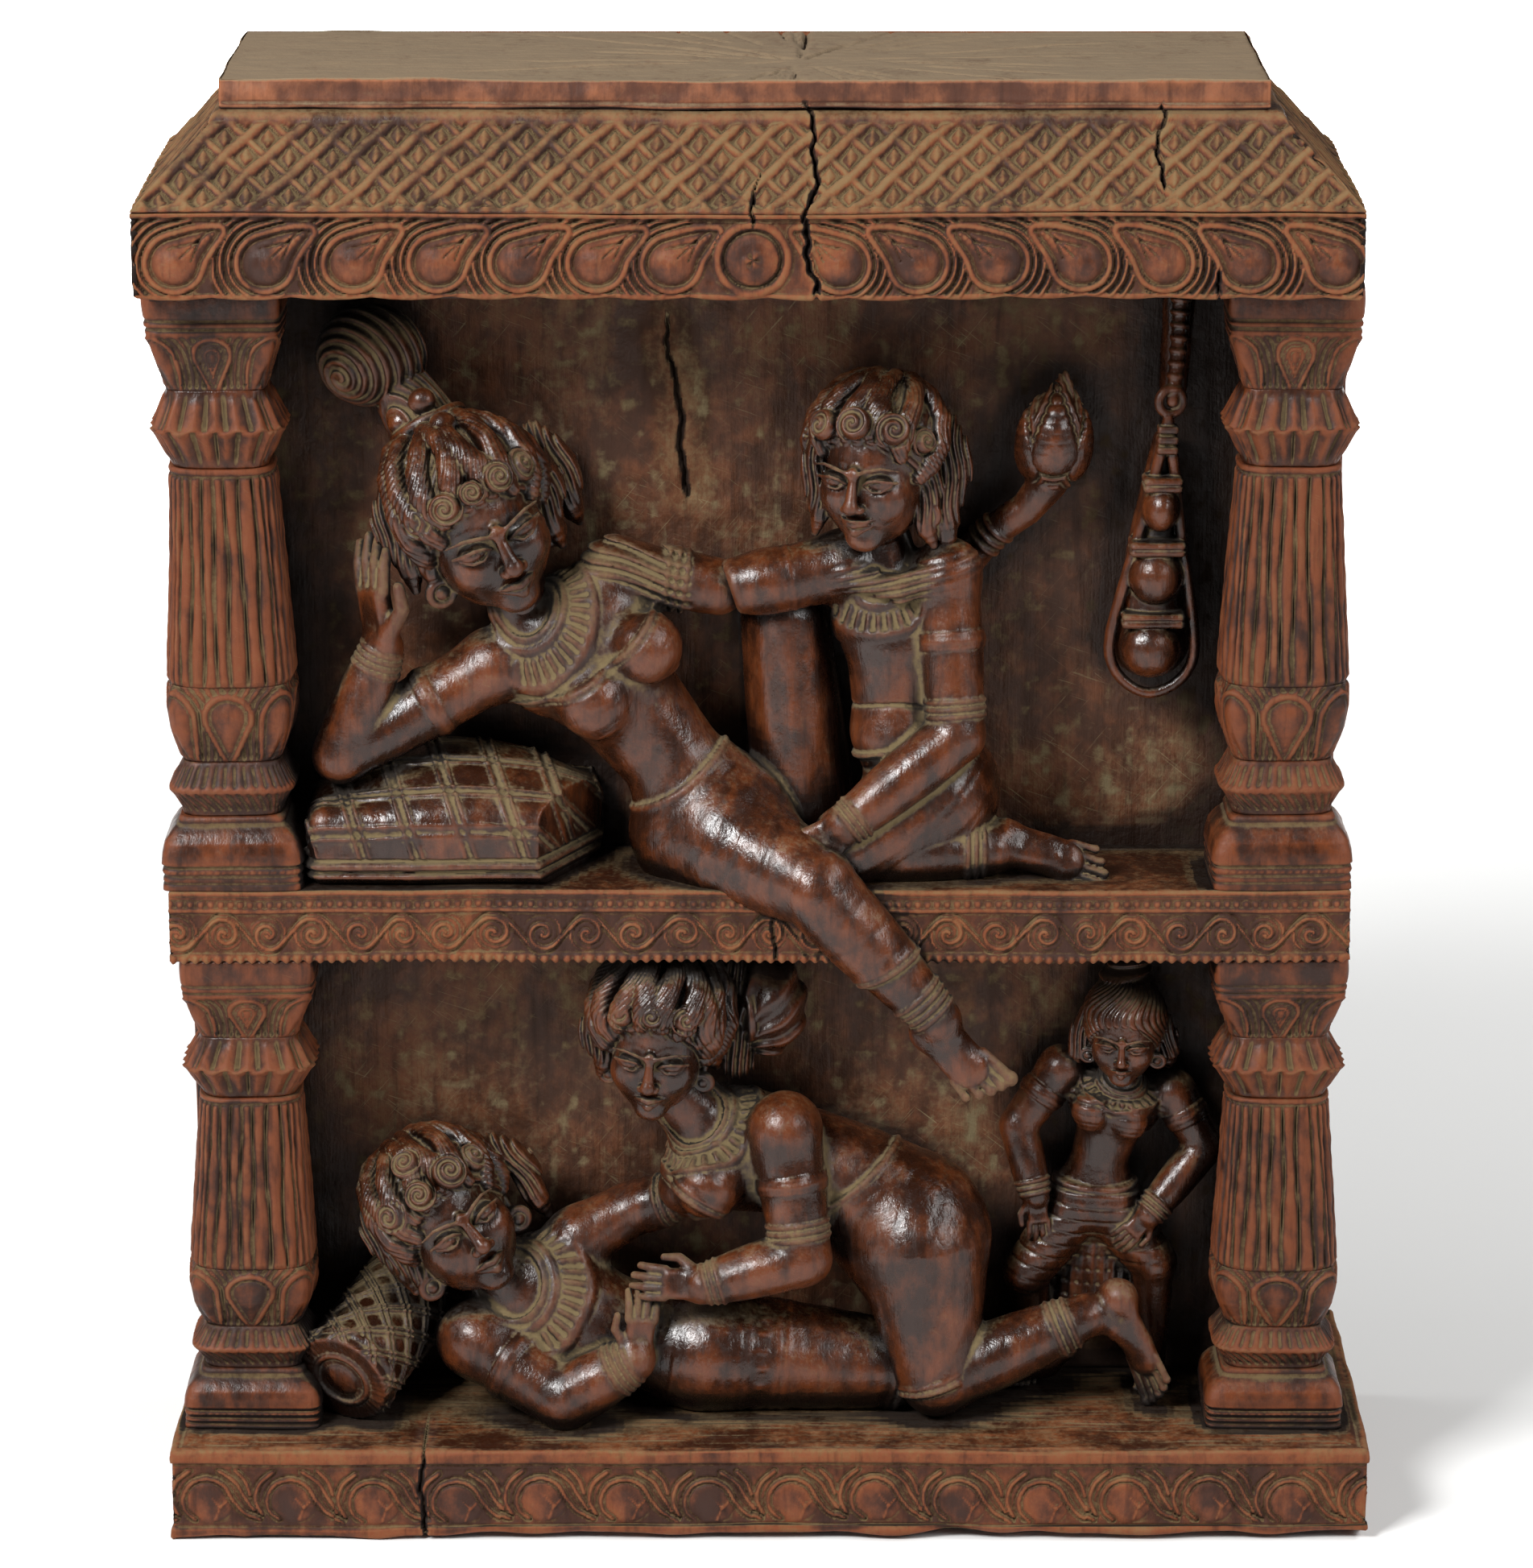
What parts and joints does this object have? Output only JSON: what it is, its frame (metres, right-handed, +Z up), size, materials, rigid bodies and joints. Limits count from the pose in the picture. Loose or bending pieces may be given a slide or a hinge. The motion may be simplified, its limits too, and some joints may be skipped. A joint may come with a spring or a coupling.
{
  "type": "carved wooden relief panel",
  "caption": "Carved hardwood panel with two niches of figures in high relief, framed by turned pillars between a plinth and a roofed cornice.",
  "frame": {"origin": "centre of the bounding box's footprint, at the surface that the panel stands on", "axes": "+Z up, the carved front faces -Y, +X to the viewer's right"},
  "size_m": [0.576, 0.19, 0.7],
  "materials": {
    "carved_wood": "dark red-brown aged hardwood, waxed, with dust in the carving",
    "pillar_wood": "dark red-brown aged hardwood, worn glossy on the proud edges",
    "figure_wood": "dark red-brown aged hardwood, handled and polished, dusty in the hair",
    "end_grain_wood": "bare weathered end grain with drying checks"
  },
  "bodies": {
    "root": {"attendant_figure": "figure_wood", "attendant_head": "figure_wood", "back_panel": "carved_wood", "cornice_band": "carved_wood", "hanging_lamp": "figure_wood", "kneeling_figure": "figure_wood", "kneeling_head": "figure_wood", "lattice_roof": "carved_wood", "leaning_figure": "figure_wood", "leaning_head": "figure_wood", "lotus_bud": "figure_wood", "lower_bolster": "figure_wood", "lower_left_capital": "pillar_wood", "lower_left_collar": "pillar_wood", "lower_left_cup": "pillar_wood", "lower_left_disc": "pillar_wood", "lower_left_foot": "pillar_wood", "lower_left_shaft": "pillar_wood", "lower_left_side_wall": "carved_wood", "lower_right_capital": "pillar_wood", "lower_right_collar": "pillar_wood", "lower_right_cup": "pillar_wood", "lower_right_disc": "pillar_wood", "lower_right_foot": "pillar_wood", "lower_right_shaft": "pillar_wood", "lower_right_side_wall": "carved_wood", "lying_figure": "figure_wood", "lying_head": "figure_wood", "mid_rail": "carved_wood", "plinth": "carved_wood", "reclining_figure": "figure_wood", "reclining_head": "figure_wood", "top_block": "end_grain_wood", "upper_bolster": "figure_wood", "upper_left_capital": "pillar_wood", "upper_left_collar": "pillar_wood", "upper_left_cup": "pillar_wood", "upper_left_disc": "pillar_wood", "upper_left_foot": "pillar_wood", "upper_left_shaft": "pillar_wood", "upper_left_side_wall": "carved_wood", "upper_right_capital": "pillar_wood", "upper_right_collar": "pillar_wood", "upper_right_cup": "pillar_wood", "upper_right_disc": "pillar_wood", "upper_right_foot": "pillar_wood", "upper_right_shaft": "pillar_wood", "upper_right_side_wall": "carved_wood"}
  },
  "joints": []
}
